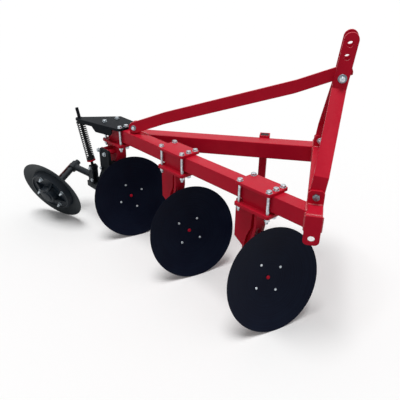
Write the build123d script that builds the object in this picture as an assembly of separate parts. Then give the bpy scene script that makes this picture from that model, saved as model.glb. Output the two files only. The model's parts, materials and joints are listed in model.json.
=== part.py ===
from build123d import *
from math import atan2, cos, hypot, radians, sin
import os

# Three-disc mounted plough. Millimetres; +X is the way it travels, +Y its left side, +Z up.
# The origin lies on the axis of the two lower hitch pins, midway between them.

# Frame of square tube: a cross tube at the front, a slanting main beam, a brace beam on the left
frame_top = 104.0            # above the lower hitch axis
tube_height = 76.0
tube_wall = 6.0
cross_width = 66.0
main_width = 70.0
brace_size = 88.0            # height and width of the brace beam
main_angle = 34.2            # main beam, from straight back towards the left
main_inset = 39.0            # from the right end of the cross tube to the main beam's corner
brace_angle = 1.9            # brace beam, from straight back towards the right
brace_inset = 54.0           # from the left end of the cross tube to the brace beam
main_tail = 108.0            # main beam behind the rear clamp's centre

# Lower hitch: two plates at each end of the cross tube
hitch_half = 460.0           # from the middle to the outer face of an end plate
lug_thick = 12.0
lug_gap = 58.0
lug_below = 28.0             # plate under the pin's centre
lug_corner = 20.0
lug_hole_r = 14.35

# Mast of two bent flat bars, each bolted in a foot on the cross tube
bar_width = 60.0
bar_thick = 14.0
top_gap = 80.0               # between the bars at the top link
foot_face = 357.0            # outer face of a foot, from the middle
foot_thick = 12.0
foot_height = 62.0
foot_bolt_height = 30.0      # above the cross tube
foot_chamfer = 12.0
lower_bend = 221.0           # heights above the hitch axis, measured along the mast
mast_bolt_height = 544.0
upper_bend = mast_bolt_height - 41.0
link_hole_heights = (mast_bolt_height + 90.0, mast_bolt_height + 141.0)
mast_height = mast_bolt_height + 187.0
mast_lean = 6.0
link_hole_r = 12.85

# Flat brace bar from the mast's top back to the lug on the main beam
stay_height = 64.0
stay_thick = 12.0
stay_nose = 44.0             # bar in front of the mast bolt
stay_above = 16.0            # its middle line above the mast bolt
stay_straight = 184.0        # behind the mast bolt, before it bends towards the beam
stay_bent = 0.82             # share of its run where it turns straight back again
stay_sleeve_r = 16.0
stay_end_r = 30.0
lug_ahead = 188.0            # stay's lug, in front of the rear clamp's centre
lug_side = 12.0              # bar's middle plane, from the beam's middle towards the right
lug_height = 36.0            # bolt above the beam
stay_lug_gap = 26.0

# Clamps that hold the standards, and their spacing along the beam
first_clamp = 266.0          # along the main beam, from its front corner
disc_pitch = 572.0
clamp_names = ("front", "middle", "rear")
clamp_bolt_x = 84.0
clamp_bolt_y = 45.0
clamp_edge = 18.0            # plate beyond the bolts
plate_thick = 14.0
pad_thick = 15.0             # between the beam and a standard's seat
seat_thick = 16.0
bolt_r = 7.0
bolt_clear = 0.5
head_flat = 24.0
head_height = 11.0
nut_height = 14.0
bolt_tail = 16.0

# Standards: outlines behind the clamp's centre and above the hitch axis
web_thick = 16.0
web_front = -20.0
web_back = 137.0
web_corner = -204.0          # height of the rear lower corner
flange_thick = 16.0
flange_near = 35.0
flange_far = 30.0
flange_bend = -92.0          # height where the front flange turns back
flange_foot = (12.0, -262.0)
web_nose = ((79.0, -240.0), (52.0, -345.0), (-6.0, -372.0), (-20.0, -300.0))   # round the hub
rib_line = ((26.0, 0.0), (32.0, -106.0), (56.0, -158.0), (66.0, -210.0), (68.0, -262.0))
rib_thick = 12.0
rib_near = 26.0

# Discs
disc_r = 255.0
disc_dish = 46.0
disc_thick = 5.0
disc_angle = 42.7            # face, from the way of travel
disc_tilt = 14.5
disc_ahead = 121.0           # disc's rim in front of the clamp's centre, along the beam
disc_bolt_circle = 159.0
disc_turns = (25.0, 47.0, 20.0)   # each disc's holes, from level
disc_hole_r = 5.5
disc_eye_r = 10.0
ground = -583.0

# Hubs behind the discs
hub_flange_r = 90.0
hub_flange_thick = 12.0
housing_gap = 5.0
disc_room_gap = 12.0         # between a disc's back and its standard
housing_r = 50.0
housing_length = 118.0
collar_r = 60.0
collar_length = 18.0
cap_r = 34.0
cap_length = 16.0
shaft_r = 26.0
shaft_length = 40.0
running_gap = 0.5

# Parking stand on the brace beam
stand_at = 262.0             # socket's middle behind the cross tube
socket_side = 56.0
socket_wall = 6.0
socket_above = 10.0
socket_length = 124.0
leg_gap = 1.0
leg_wall = 4.0
leg_top_gap = 6.0
foot_pad = 110.0
foot_pad_thick = 8.0
screw_r = 6.0
screw_boss_r = 13.0
screw_boss_length = 12.0
screw_drop = 70.0            # clamp screw below the socket's rim
screw_reach = 46.0

# Spring arm above the rear clamp
arm_tip = (262.0, 122.0)     # spring rod's hole: behind the clamp's centre, to the right
arm_tip_r = 25.0
arm_far = (112.0, -92.0)
arm_flange_thick = 10.0
arm_flange_start = 66.0      # behind the front edge
arm_flange_step = 236.0
arm_flange_drop = 42.0
arm_flange_tip_drop = 12.0

# Spring, rod and the swing arm below, in the rear clamp's axes: back, right, up
rod_r = 9.5
rod_above = 66.0
rod_eye = (200.0, 94.0, -210.0)
rod_eye_r = 20.0
rod_eye_thick = 21.0
spring_r = 28.0
spring_wire_r = 3.4
spring_seat = 46.0           # seat above the rod's eye
seat_ring_r = 28.5
seat_ring_thick = 8.0

tail_plate_y = 91.0
tail_plate_thick = 18.0
tail_plate_x = (-20.0, 90.0)
tail_plate_z = (-192.0, -38.0)
tail_corner = 12.0
spacer_r = 16.0
spacer_spots = ((76.0, -56.0), (14.0, -56.0))
pivot_x = 66.0
pivot_z = -168.0
pivot_r = 12.0
swing_gap = 4.0              # between the swing arm, its plate and the web
swing_height = 52.0
block_back = 265.0
block_front = 140.0
block_near = 115.0
block_z = (-357.0, -319.0)
clevis_plate = (226.0, 238.0)     # plate across the cheeks' rear edges, front and rear faces
clevis_top = -246.0
cross_bar_z = -274.0         # where the cross bar meets that plate
cheek_thick = 10.0
cheek_r = 22.0

# Furrow wheel
wheel_r = 232.0
wheel_behind = 366.0         # wheel's centre, from the rear clamp's centre along the beam
wheel_aside = 331.8          # and to its right
wheel_heading = 14.27        # wheel's plane, from the way of travel towards the right
wheel_lean = 21.05
wheel_edge = 3.0
flange_plate = 6.0           # cutting flange where it leaves the drum
flange_set = 15.0            # drum's base behind the plane of the cutting edge
wheel_floor = 10.0           # thickness inside the drum
axle_inside = 48.0           # axle's end in front of the wheel's plane
drum_base_r = 161.0
drum_r = 146.0               # at the drum's front lip
drum_depth = 21.0            # lip in front of the cutting edge's plane
drum_wall = 8.0
wheel_web_sunk = 9.0
wheel_hub_r = 60.0
wheel_hub_nose_r = 56.0
wheel_hub_front = 64.0
wheel_hub_back = 34.0
wheel_cap_r = 38.0
wheel_cap_height = 7.0
axle_r = 19.0
eye_reach = 250.0            # from the wheel's plane to the eye
eye_r = 30.0
eye_length = 54.0
knob_r = 20.0
knob_length = 22.0
cross_bar_r = 20.5

frame_bottom = frame_top - tube_height
back = Vector(-cos(radians(main_angle)), sin(radians(main_angle)), 0)   # along the main beam
right = Vector(-sin(radians(main_angle)), -cos(radians(main_angle)), 0)  # across it
main_corner = Vector(-cross_width / 2, -hitch_half + main_inset, 0)
main_start = main_corner - right * (main_width / 2)
bolt_hole_r = bolt_r + bolt_clear


def along_beam(distance):
    """The main beam's own axes at a distance from its front corner: x back, y right, z up."""
    return Plane(origin=main_start + back * distance, x_dir=back, z_dir=(0, 0, 1))


def clamp_axes(index):
    return along_beam(first_clamp + disc_pitch * index)


def upright(points, y_low, y_high):
    """A plate whose outline is given in x and z, from y_low to y_high."""
    side = Plane(origin=(0, y_high, 0), x_dir=(1, 0, 0), z_dir=(0, -1, 0))
    return extrude(side * make_face(Polyline(*points, close=True)), y_high - y_low)


def flat(points, z_low, z_high):
    """A plate whose outline is given in x and y, from z_low to z_high."""
    return Pos(0, 0, z_low) * extrude(make_face(Polyline(*points, close=True)), z_high - z_low)


def block(x_low, x_high, y_low, y_high, z_low, z_high):
    centre = Pos((x_low + x_high) / 2, (y_low + y_high) / 2, (z_low + z_high) / 2)
    return centre * Box(x_high - x_low, y_high - y_low, z_high - z_low)


def rod(start, end, radius):
    """A round bar between two points."""
    run = Vector(*end) - Vector(*start)
    seat = Plane(origin=start, z_dir=run)
    return extrude(seat * Circle(radius), run.length)


def across(x, z, y_low, y_high, radius):
    return rod((x, y_low, z), (x, y_high, z), radius)


def ribbon(points, thick):
    """The outline of a strip of even thickness along a line of points, with mitred bends."""
    left, far = [], []
    for here in range(len(points)):
        x, y = points[here]
        before = points[max(here - 1, 0)]
        after = points[min(here + 1, len(points) - 1)]
        headings = []
        for first, last in ((before, points[here]), (points[here], after)):
            run = hypot(last[0] - first[0], last[1] - first[1])
            if run > 0:
                headings.append(((last[0] - first[0]) / run, (last[1] - first[1]) / run))
        way = (headings[0][0] + headings[-1][0], headings[0][1] + headings[-1][1])
        size = hypot(*way)
        reach = thick / size
        left.append((x - way[1] / size * reach, y + way[0] / size * reach))
        far.append((x + way[1] / size * reach, y - way[0] / size * reach))
    return left + far[::-1]


def hexagon(x, y, z, flat_size, height):
    return Pos(x, y, z) * extrude(RegularPolygon(flat_size / 2, 6, major_radius=False), height)


def tube_box(length, width, height, wall):
    """A square tube along x, from 0 to length, its top at z = 0."""
    outer = block(0, length, -width / 2, width / 2, -height, 0)
    inner = block(-1, length + 1, -width / 2 + wall, width / 2 - wall, -height + wall, -wall)
    return outer - inner


# Frame

def cross_tube():
    length = 2 * (hitch_half - lug_thick)
    tube = Rot(0, 0, 90) * tube_box(length, cross_width, tube_height, tube_wall)
    return Pos(0, -length / 2, frame_top) * tube


def behind_cross(shape):
    """The part of a shape behind the cross tube's rear face."""
    reach = 4000
    return shape & block(-reach, -cross_width / 2, -reach, reach, -reach, reach)


def main_beam():
    front = -main_width
    length = first_clamp + 2 * disc_pitch + main_tail
    tube = Pos(front, 0, frame_top) * tube_box(length - front, main_width, tube_height, tube_wall)
    cap = block(length - tube_wall, length, -main_width / 2, main_width / 2, frame_bottom, frame_top)
    tube = tube + cap
    for index in range(len(clamp_names)):
        x = first_clamp + disc_pitch * index - clamp_bolt_x
        tube -= rod((x, 0, frame_bottom - 1), (x, 0, frame_top + 1), bolt_hole_r)
    return behind_cross(along_beam(0) * tube)


def brace_axes():
    lean = radians(brace_angle)
    corner = Vector(-cross_width / 2, hitch_half - brace_inset - brace_size, 0)
    middle = corner + Vector(-sin(lean), cos(lean), 0) * (brace_size / 2)
    return Plane(origin=middle, x_dir=(-cos(lean), -sin(lean), 0), z_dir=(0, 0, 1))


def brace_beam():
    length = hypot(disc_pitch * 2, disc_pitch * 2)
    tube = Pos(-brace_size, 0, frame_top) * tube_box(length, brace_size, brace_size, tube_wall)
    tube = behind_cross(brace_axes() * tube)
    beyond = block(-length, 2 * length, -main_width / 2, 2 * length, -length, length)
    return tube - along_beam(0) * beyond


def hitch_lug(side):
    """The end plate and the inner plate of one lower hitch point."""
    half = cross_width / 2
    outline = Plane.XZ * make_face(Polyline(
        (-half, frame_top), (half, frame_top), (half, -lug_below), (-half, -lug_below), close=True))
    plate = extrude(outline, lug_thick)
    plate = fillet(plate.edges().filter_by(Axis.Y).group_by(Axis.Z)[0], lug_corner)
    plate -= rod((0, -lug_thick - 1, 0), (0, 1, 0), lug_hole_r)
    outer = Pos(0, -hitch_half + lug_thick, 0) * plate
    inner = Pos(0, -hitch_half + 2 * lug_thick + lug_gap, 0) * plate
    inner -= block(-half - 1, half + 1, -hitch_half, 0, frame_bottom, frame_top + 1)
    pair = [outer, inner]
    if side > 0:
        pair = [mirror(piece, about=Plane.XZ) for piece in pair]
    return pair


# Mast

def mast_axes():
    """Upright axes that lean forward with the mast, from the foot bolts."""
    pivot = frame_top + foot_bolt_height
    return Pos(0, 0, pivot) * Rot(0, mast_lean, 0) * Pos(0, 0, -pivot)


def foot_plates(side):
    half = cross_width / 2
    low, high = frame_top, frame_top + foot_height
    points = ((-half, low), (half, low), (half, high - foot_chamfer), (half - foot_chamfer, high),
              (-half + foot_chamfer, high), (-half, high - foot_chamfer))
    plates = []
    for start in (foot_face - foot_thick, foot_face - 2 * foot_thick - bar_thick):
        plate = upright(points, start, start + foot_thick)
        plate -= across(0, frame_top + foot_bolt_height, start - 1, start + foot_thick + 1, bolt_hole_r)
        plates.append(plate if side > 0 else mirror(plate, about=Plane.XZ))
    return plates


def mast_leg(side):
    """A flat bar: upright in its foot, slanting inwards, upright again at the top link."""
    foot_y = foot_face - foot_thick - bar_thick / 2
    top_y = (top_gap + bar_thick) / 2
    base = frame_top + 8
    line = ((foot_y, base), (foot_y, lower_bend), (top_y, upper_bend), (top_y, mast_height))
    section = Plane(origin=(-bar_width / 2, 0, 0), x_dir=(0, 1, 0), z_dir=(1, 0, 0))
    leg = extrude(section * make_face(Polyline(*ribbon(line, bar_thick), close=True)), bar_width)
    crown = mast_height - bar_width / 2
    ends = block(-bar_width, bar_width, 0, foot_face, crown, mast_height + 1)
    ends -= across(0, crown, -1, foot_face + 1, bar_width / 2)
    leg -= ends
    for height in link_hole_heights:
        leg -= across(0, height, -1, foot_face, link_hole_r)
    leg -= across(0, mast_bolt_height, -1, top_y + bar_thick, bolt_hole_r)
    leg -= across(0, frame_top + foot_bolt_height, foot_y - bar_thick, foot_face, bolt_hole_r)
    leg = mast_axes() * leg
    return leg if side > 0 else mirror(leg, about=Plane.XZ)


def mast_bolt_point():
    return (mast_axes() * Pos(0, 0, mast_bolt_height)).position


def stay_bolt_point():
    """The bolt at the stay's rear end, in the stay's middle plane."""
    along = first_clamp + disc_pitch * (len(clamp_names) - 1) - lug_ahead
    point = main_start + back * along + right * lug_side
    return Vector(point.X, point.Y, frame_top + lug_height)


def stay_line():
    """The stay's middle plane seen from above: the nose, two bends and the rear end."""
    front, rear = mast_bolt_point(), stay_bolt_point()
    run = front.X - rear.X
    return [
        (front.X + stay_nose, front.Y),
        (front.X - stay_straight, front.Y),
        (front.X - run * stay_bent, rear.Y + (front.Y - rear.Y) * 0.06),
        (rear.X - stay_height / 2, rear.Y),
    ]


def mast_stay():
    bolt, rear = mast_bolt_point(), stay_bolt_point()
    front = bolt + Vector(0, 0, stay_above)
    seen_from_above = make_face(Polyline(*ribbon(stay_line(), stay_thick), close=True))
    tall = extrude(seen_from_above, mast_height + 200)
    rise = atan2(front.Z - rear.Z, front.X - rear.X)
    half = stay_height / 2
    wide = abs(rear.Y - front.Y) + stay_height
    side = Plane(origin=(rear.X, rear.Y + wide, rear.Z), x_dir=(cos(rise), 0, sin(rise)), z_dir=(0, -1, 0))
    length = hypot(front.X - rear.X, front.Z - rear.Z)
    outline = make_face(Polyline((0, -half), (length + stay_nose, -half + 12), (length + stay_nose, half - 12),
                                 (length + stay_nose - 18, half), (0, half), close=True))
    strip = extrude(side * (outline + Circle(half)), 2 * wide)
    bar = tall & strip
    side_reach = top_gap / 2
    bar += rod((bolt.X, -side_reach, bolt.Z), (bolt.X, side_reach, bolt.Z), stay_sleeve_r)
    bar -= rod((bolt.X, -side_reach - 1, bolt.Z), (bolt.X, side_reach + 1, bolt.Z), bolt_hole_r)
    bar -= rod((rear.X, rear.Y - 20, rear.Z), (rear.X, rear.Y + 20, rear.Z), bolt_hole_r)
    return bar


def stay_lug():
    """Two plates on the main beam, behind the stay's rear end."""
    point = stay_bolt_point()
    plates = []
    for start in (stay_thick / 2, stay_thick / 2 + stay_lug_gap):
        outline = ((point.X - stay_end_r, frame_top), (point.X + stay_end_r, frame_top),
                   (point.X + stay_end_r, point.Z), (point.X - stay_end_r, point.Z))
        low = point.Y + start
        plate = upright(outline, low, low + 10)
        plate += rod((point.X, low, point.Z), (point.X, low + 10, point.Z), stay_end_r)
        plate -= rod((point.X, low - 1, point.Z), (point.X, low + 11, point.Z), bolt_hole_r)
        plates.append(plate)
    return plates


# Clamps, standards and discs

def bolt_places(middle=True):
    places = [(x, y) for x in (clamp_bolt_x, -clamp_bolt_x) for y in (clamp_bolt_y, -clamp_bolt_y)]
    return places + [(-clamp_bolt_x, 0)] if middle else places


def clamp_sheet(z_low, z_high):
    length = 2 * (clamp_bolt_x + clamp_edge)
    width = 2 * (clamp_bolt_y + clamp_edge)
    sheet = Pos(0, 0, z_low) * extrude(RectangleRounded(length, width, 12), z_high - z_low)
    for x, y in bolt_places():
        sheet -= rod((x, y, z_low - 1), (x, y, z_high + 1), bolt_hole_r)
    return sheet


def top_plate(index):
    return clamp_axes(index) * clamp_sheet(frame_top, frame_top + plate_thick)


def clamp_bolts(index):
    seat_low = frame_bottom - pad_thick - seat_thick
    head_low = frame_top + plate_thick
    bolts = []
    for x, y in bolt_places():
        bolt = rod((x, y, seat_low - nut_height - bolt_tail), (x, y, head_low), bolt_r)
        bolt += hexagon(x, y, head_low, head_flat, head_height)
        bolt += hexagon(x, y, seat_low - nut_height, head_flat, nut_height)
        bolts.append(clamp_axes(index) * bolt)
    return bolts


def disc_axes(index):
    """Axes of a disc: z out of its hollow face, origin at the middle of its rim."""
    turn, tilt = radians(disc_angle), radians(disc_tilt)
    face = Vector(sin(turn) * cos(tilt), -cos(turn) * cos(tilt), sin(tilt))
    middle = main_start + back * (first_clamp + disc_pitch * index - disc_ahead)
    centre = Vector(middle.X, middle.Y, ground + disc_r * cos(tilt))
    return Plane(origin=centre, x_dir=(cos(turn), sin(turn), 0), z_dir=face)


def disc_room():
    """The space that a turning disc and its hub flange need, about the disc's axis."""
    bowl_r = (disc_r ** 2 + disc_dish ** 2) / (2 * disc_dish)
    reach = disc_r + disc_room_gap
    ball = Pos(0, 0, bowl_r - disc_dish) * Sphere(bowl_r + disc_thick + disc_room_gap)
    bowl = ball & rod((0, 0, -disc_dish - 3 * disc_room_gap), (0, 0, disc_room_gap), reach)
    flange = hub_flange_thick + housing_gap
    seat = -disc_dish - disc_thick
    return bowl + rod((0, 0, 0), (0, 0, seat - flange), hub_flange_r + housing_gap)


def standard(index):
    """Seat plate, web, front flange and the bearing housing, welded into one piece."""
    seat_high = frame_bottom - pad_thick
    seat_low = seat_high - seat_thick
    body = clamp_sheet(seat_low, seat_high)
    pad = clamp_bolt_x - 2 * bolt_r
    body += block(-pad, pad, -main_width / 2, main_width / 2, seat_high, frame_bottom)
    body += upright(((web_front, seat_low), (web_back, seat_low), (web_back, web_corner)) + web_nose,
                    -web_thick / 2, web_thick / 2)
    foot_x, foot_z = flange_foot
    body += upright(((web_front, seat_low), (web_front + flange_thick, seat_low),
                     (web_front + flange_thick, flange_bend), (foot_x + flange_thick, foot_z),
                     (foot_x, foot_z), (web_front, flange_bend)), -flange_far, flange_near)
    if clamp_names[index] != "rear":
        body += upright(ribbon([(x - rib_thick / 2, z) for x, z in rib_line], rib_thick), 0, rib_near)
    body = clamp_axes(index) * body
    start = -disc_dish - disc_thick - hub_flange_thick - housing_gap
    axes = disc_axes(index)
    housing = axes * rod((0, 0, start), (0, 0, start - housing_length), housing_r)
    housing += axes * rod((0, 0, start), (0, 0, start - collar_length), collar_r)
    housing += axes * rod((0, 0, start - housing_length), (0, 0, start - housing_length - cap_length), cap_r)
    body += housing
    body -= axes * disc_room()
    body -= axes * rod((0, 0, start + 1), (0, 0, start - shaft_length - 2), shaft_r + running_gap)
    return body


def disc(index):
    """A dished blade."""
    bowl_r = (disc_r ** 2 + disc_dish ** 2) / (2 * disc_dish)
    ball = bowl_r - disc_dish
    inner = Pos(0, 0, ball) * Sphere(bowl_r)
    outer = Pos(0, 0, ball) * Sphere(bowl_r + disc_thick)
    blade = outer - inner
    blade = blade & block(-disc_r, disc_r, -disc_r, disc_r, -disc_dish - disc_thick, 0)
    blade = blade & rod((0, 0, -disc_dish - 2 * disc_thick), (0, 0, 1), disc_r)
    for spot in PolarLocations(disc_bolt_circle / 2, 4, start_angle=disc_turns[index]):
        x, y = spot.position.X, spot.position.Y
        blade -= rod((x, y, -disc_dish - 3 * disc_thick), (x, y, 0), disc_hole_r)
    blade -= rod((0, 0, -disc_dish - 3 * disc_thick), (0, 0, 0), disc_eye_r)
    return disc_axes(index) * blade


def hub(index):
    """The turning flange against a disc's back, with its spigot in the disc's eye and its shaft."""
    seat = -disc_dish - disc_thick
    back_face = seat - hub_flange_thick
    bowl_r = (disc_r ** 2 + disc_dish ** 2) / (2 * disc_dish)
    piece = rod((0, 0, seat + 2 * disc_thick), (0, 0, back_face), hub_flange_r)
    piece -= Pos(0, 0, bowl_r - disc_dish) * Sphere(bowl_r + disc_thick + 0.1)
    piece += rod((0, 0, back_face), (0, 0, back_face - housing_gap - shaft_length), shaft_r)
    piece += rod((0, 0, seat - 1), (0, 0, seat + disc_thick), disc_eye_r - 0.3)
    return disc_axes(index) * piece


# Parking stand

def stand_axes():
    """Middle of the socket, seen from above, against the brace beam's left side."""
    return brace_axes() * Pos(stand_at, -(brace_size + socket_side) / 2, 0)


def square_tube(side, wall, z_low, z_high):
    half = side / 2
    outer = block(-half, half, -half, half, z_low, z_high)
    inner = block(-half + wall, half - wall, -half + wall, half - wall, z_low - 1, z_high + 1)
    return outer - inner


def socket():
    high = frame_top + socket_above
    body = square_tube(socket_side, socket_wall, high - socket_length, high)
    y = -socket_side / 2
    body += rod((0, y, high - screw_drop), (0, y - screw_boss_length, high - screw_drop), screw_boss_r)
    body -= rod((0, y + socket_wall + 1, high - screw_drop),
                (0, y - screw_boss_length - 1, high - screw_drop), screw_r + 0.2)
    return stand_axes() * body


def stand_screw():
    z = frame_top + socket_above - screw_drop
    tip = -(socket_side / 2 - socket_wall - leg_gap) - 0.3
    tail = tip - screw_reach
    body = rod((0, tip, z), (0, tail, z), screw_r)
    body += rod((-32, tail + 7, z), (32, tail + 7, z), 5)
    return stand_axes() * body


def stand_leg():
    side = socket_side - 2 * (socket_wall + leg_gap)
    high = frame_top + socket_above - leg_top_gap
    body = square_tube(side, leg_wall, ground + foot_pad_thick, high)
    pad = Pos(0, 0, ground) * extrude(RectangleRounded(foot_pad, foot_pad, 14), foot_pad_thick)
    return stand_axes() * (body + pad)


# Rear wheel carrier: all in the rear clamp's axes

def rear(shape):
    return clamp_axes(2) * shape


def arm_edge(distance, inwards):
    """A point along the arm's right edge, from its front corner towards the tip."""
    start = (-(clamp_bolt_x + clamp_edge), clamp_bolt_y + clamp_edge)
    run = (arm_tip[0] - start[0], arm_tip[1] + arm_tip_r - start[1])
    size = hypot(*run)
    step = (run[0] / size, run[1] / size)
    return (start[0] + step[0] * distance + step[1] * inwards,
            start[1] + step[1] * distance - step[0] * inwards)


def arm_length():
    return hypot(arm_tip[0] + clamp_bolt_x + clamp_edge, arm_tip[1] + arm_tip_r - clamp_bolt_y - clamp_edge)


def spring_arm():
    """The rear clamp's top plate, drawn out to the spring rod, with a flange down its right edge."""
    front = -(clamp_bolt_x + clamp_edge)
    near = clamp_bolt_y + clamp_edge
    tip_x, tip_y = arm_tip
    outline = ((front, near), (tip_x, tip_y + arm_tip_r), (tip_x + arm_tip_r, tip_y), arm_far,
               (front + 60, arm_far[1]), (front, -near))
    body = flat(outline, frame_top, frame_top + plate_thick)
    body += rod((tip_x, tip_y, frame_top), (tip_x, tip_y, frame_top + plate_thick), arm_tip_r)
    origin = arm_edge(0, 0)
    ahead = arm_edge(1, 0)
    heading = (ahead[0] - origin[0], ahead[1] - origin[1], 0)
    side = Plane(origin=(origin[0], origin[1], frame_top), x_dir=heading,
                 z_dir=(heading[1], -heading[0], 0))
    end = arm_length() - arm_tip_r - spring_r / 2
    drop = make_face(Polyline((arm_flange_start, 0), (end, 0), (end, -arm_flange_tip_drop),
                              (arm_flange_step, -arm_flange_tip_drop), (arm_flange_step - 30, -arm_flange_drop),
                              (arm_flange_start + 16, -arm_flange_drop), (arm_flange_start, -arm_flange_drop + 16),
                              close=True))
    body += extrude(side * drop, arm_flange_thick)
    for x, y in bolt_places():
        body -= rod((x, y, frame_top - 1), (x, y, frame_top + plate_thick + 1), bolt_hole_r)
    start, end_point = rod_line()
    body -= rod(start, end_point, rod_r + 3)
    return rear(body)


def rod_line():
    """Lower and upper ends of the spring rod's middle line, in the rear clamp's axes."""
    eye = Vector(*rod_eye)
    hole = Vector(arm_tip[0], arm_tip[1], frame_top + plate_thick)
    run = (hole - eye).normalized()
    return eye, hole + run * rod_above


def spring_rod():
    eye, top = rod_line()
    body = rod(eye + (top - eye).normalized() * (rod_eye_r - 4), top, rod_r)
    y = rod_eye[1]
    half = rod_eye_thick / 2
    body += across(rod_eye[0], rod_eye[2], y - half, y + half, rod_eye_r)
    body -= across(rod_eye[0], rod_eye[2], y - half - 1, y + half + 1, bolt_hole_r)
    return rear(body)


def spring_span():
    eye, top = rod_line()
    run = (top - eye).normalized()
    low = eye + run * (spring_seat + seat_ring_thick)
    high = eye + run * ((frame_top - spring_r * run.X - 1 - eye.Z) / run.Z)
    return low, high, run


def spring():
    low, high, run = spring_span()
    tube = rod(low, high, spring_r) - rod(low - run, high + run, spring_r - 2 * spring_wire_r)
    return rear(tube)


def spring_seat_ring():
    low, high, run = spring_span()
    start = low - run * seat_ring_thick
    return rear(rod(start, low, seat_ring_r) - rod(start - run, low + run, rod_r + 0.3))


def tail_plate():
    low, high = tail_plate_y - tail_plate_thick / 2, tail_plate_y + tail_plate_thick / 2
    x_low, x_high = tail_plate_x
    z_low, z_high = tail_plate_z
    cut = tail_corner
    body = upright(((x_low, z_low + cut), (x_low + cut, z_low), (x_high - cut, z_low), (x_high, z_low + cut),
                    (x_high, z_high - cut), (x_high - cut, z_high), (x_low + cut, z_high), (x_low, z_high - cut)),
                   low, high)
    body -= across(pivot_x, pivot_z, low - 1, high + 1, pivot_r + 0.3)
    return rear(body)


def spacers():
    low = web_thick / 2
    high = tail_plate_y - tail_plate_thick / 2
    return [rear(across(x, z, low, high, spacer_r)) for x, z in spacer_spots]


def pivot_pin():
    high = tail_plate_y + tail_plate_thick / 2 + 10
    return rear(across(pivot_x, pivot_z, web_thick / 2, high, pivot_r))


def swing_sides():
    """Left and right faces of the swing arm, between the web and the tail plate."""
    return web_thick / 2 + swing_gap, tail_plate_y - tail_plate_thick / 2 - swing_gap


def clevis_back():
    """The plate across the cheeks' rear edges, which carries the cross bar."""
    front_face, rear_face = clevis_plate
    reach = rod_eye_thick / 2 + 1 + cheek_thick
    return block(front_face, rear_face, rod_eye[1] - reach, rod_eye[1] + reach, block_z[1], clevis_top)


def swing_arm():
    """The arm from the pivot down to the block that carries the rod's cheeks and the cross bar."""
    low, high = swing_sides()
    z_low, z_high = block_z
    half = swing_height / 2
    arm = upright(((pivot_x - half, pivot_z), (pivot_x, pivot_z + half), (pivot_x + half, pivot_z + half * 0.6),
                   (block_front + swing_height, z_high), (block_front + swing_height, z_low),
                   (block_front, z_low), (pivot_x - half * 0.6, pivot_z - half)), low, high)
    arm += block(block_front, block_back, low, block_near, z_low, z_high)
    arm += across(pivot_x, pivot_z, low, high, half)
    arm -= across(pivot_x, pivot_z, low - 1, high + 1, pivot_r + 0.3)
    eye_x, eye_y, eye_z = rod_eye
    near = rod_eye_thick / 2 + 1
    for start in (eye_y - near - cheek_thick, eye_y + near):
        cheek = upright(((eye_x - cheek_r, eye_z), (eye_x + cheek_r, eye_z), (eye_x + cheek_r + 14, z_high),
                         (eye_x - cheek_r, z_high)), start, start + cheek_thick)
        cheek += across(eye_x, eye_z, start, start + cheek_thick, cheek_r)
        cheek -= across(eye_x, eye_z, start - 1, start + cheek_thick + 1, bolt_hole_r)
        arm += cheek
    arm += clevis_back()
    return rear(arm)


# Furrow wheel

def wheel_axes():
    """Axes of the wheel: z up its axle, away from the face that shows the hub's cap."""
    heading, lean = radians(wheel_heading), radians(wheel_lean)
    axle = Vector(sin(heading) * cos(lean), cos(heading) * cos(lean), sin(lean))
    spot = clamp_axes(2).from_local_coords((wheel_behind, wheel_aside, 0))
    centre = Vector(spot.X, spot.Y, ground + wheel_r * cos(lean))
    return Plane(origin=centre, x_dir=(cos(heading), -sin(heading), 0), z_dir=axle)


def ring(points):
    """A body of revolution about z from an outline of radius and height."""
    return revolve(Plane.XZ * make_face(Polyline(*points, close=True)), Axis.Z)


def wheel():
    """A cutting flange coned back to a drum, with a sunk web and a long hub."""
    front = -drum_depth
    web = front + wheel_web_sunk
    base = flange_set + flange_plate
    nose = -wheel_hub_front + wheel_cap_height
    body = ring((
        (wheel_r, -wheel_edge / 2), (wheel_r, wheel_edge / 2),
        (drum_base_r, base), (drum_base_r - drum_wall, base),
        (drum_r - drum_wall, web + wheel_floor), (wheel_hub_r, web + wheel_floor),
        (wheel_hub_r, wheel_hub_back), (axle_r + running_gap, wheel_hub_back),
        (axle_r + running_gap, -axle_inside), (0, -axle_inside),
        (0, -wheel_hub_front), (wheel_cap_r, -wheel_hub_front),
        (wheel_cap_r, nose), (wheel_hub_nose_r, nose),
        (wheel_hub_r, web), (drum_r - drum_wall, web),
        (drum_r - drum_wall, front), (drum_r, front), (drum_base_r, flange_set)))
    return wheel_axes() * body


def eye_centre():
    return wheel_axes().from_local_coords((0, 0, eye_reach))


def axle():
    body = rod((0, 0, 4 - axle_inside), (0, 0, eye_reach + eye_length / 2 + 2), axle_r)
    body += rod((0, 0, eye_reach + eye_length / 2 + 2), (0, 0, eye_reach + eye_length / 2 + 2 + knob_length), knob_r)
    body += rod((0, 0, wheel_hub_back + 1), (0, 0, wheel_hub_back + 9), axle_r + 10)
    return wheel_axes() * body


def cross_bar():
    """The round bar from the swing arm's clevis to the eye that holds the axle."""
    axes = wheel_axes()
    start = clamp_axes(2).from_local_coords((sum(clevis_plate) / 2, rod_eye[1], cross_bar_z))
    body = rod(start, eye_centre(), cross_bar_r)
    body += axes * rod((0, 0, eye_reach - eye_length / 2), (0, 0, eye_reach + eye_length / 2), eye_r)
    body -= axes * rod((0, 0, eye_reach - eye_length), (0, 0, eye_reach + eye_length), axle_r + 0.3)
    return body - rear(clevis_back())


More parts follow.
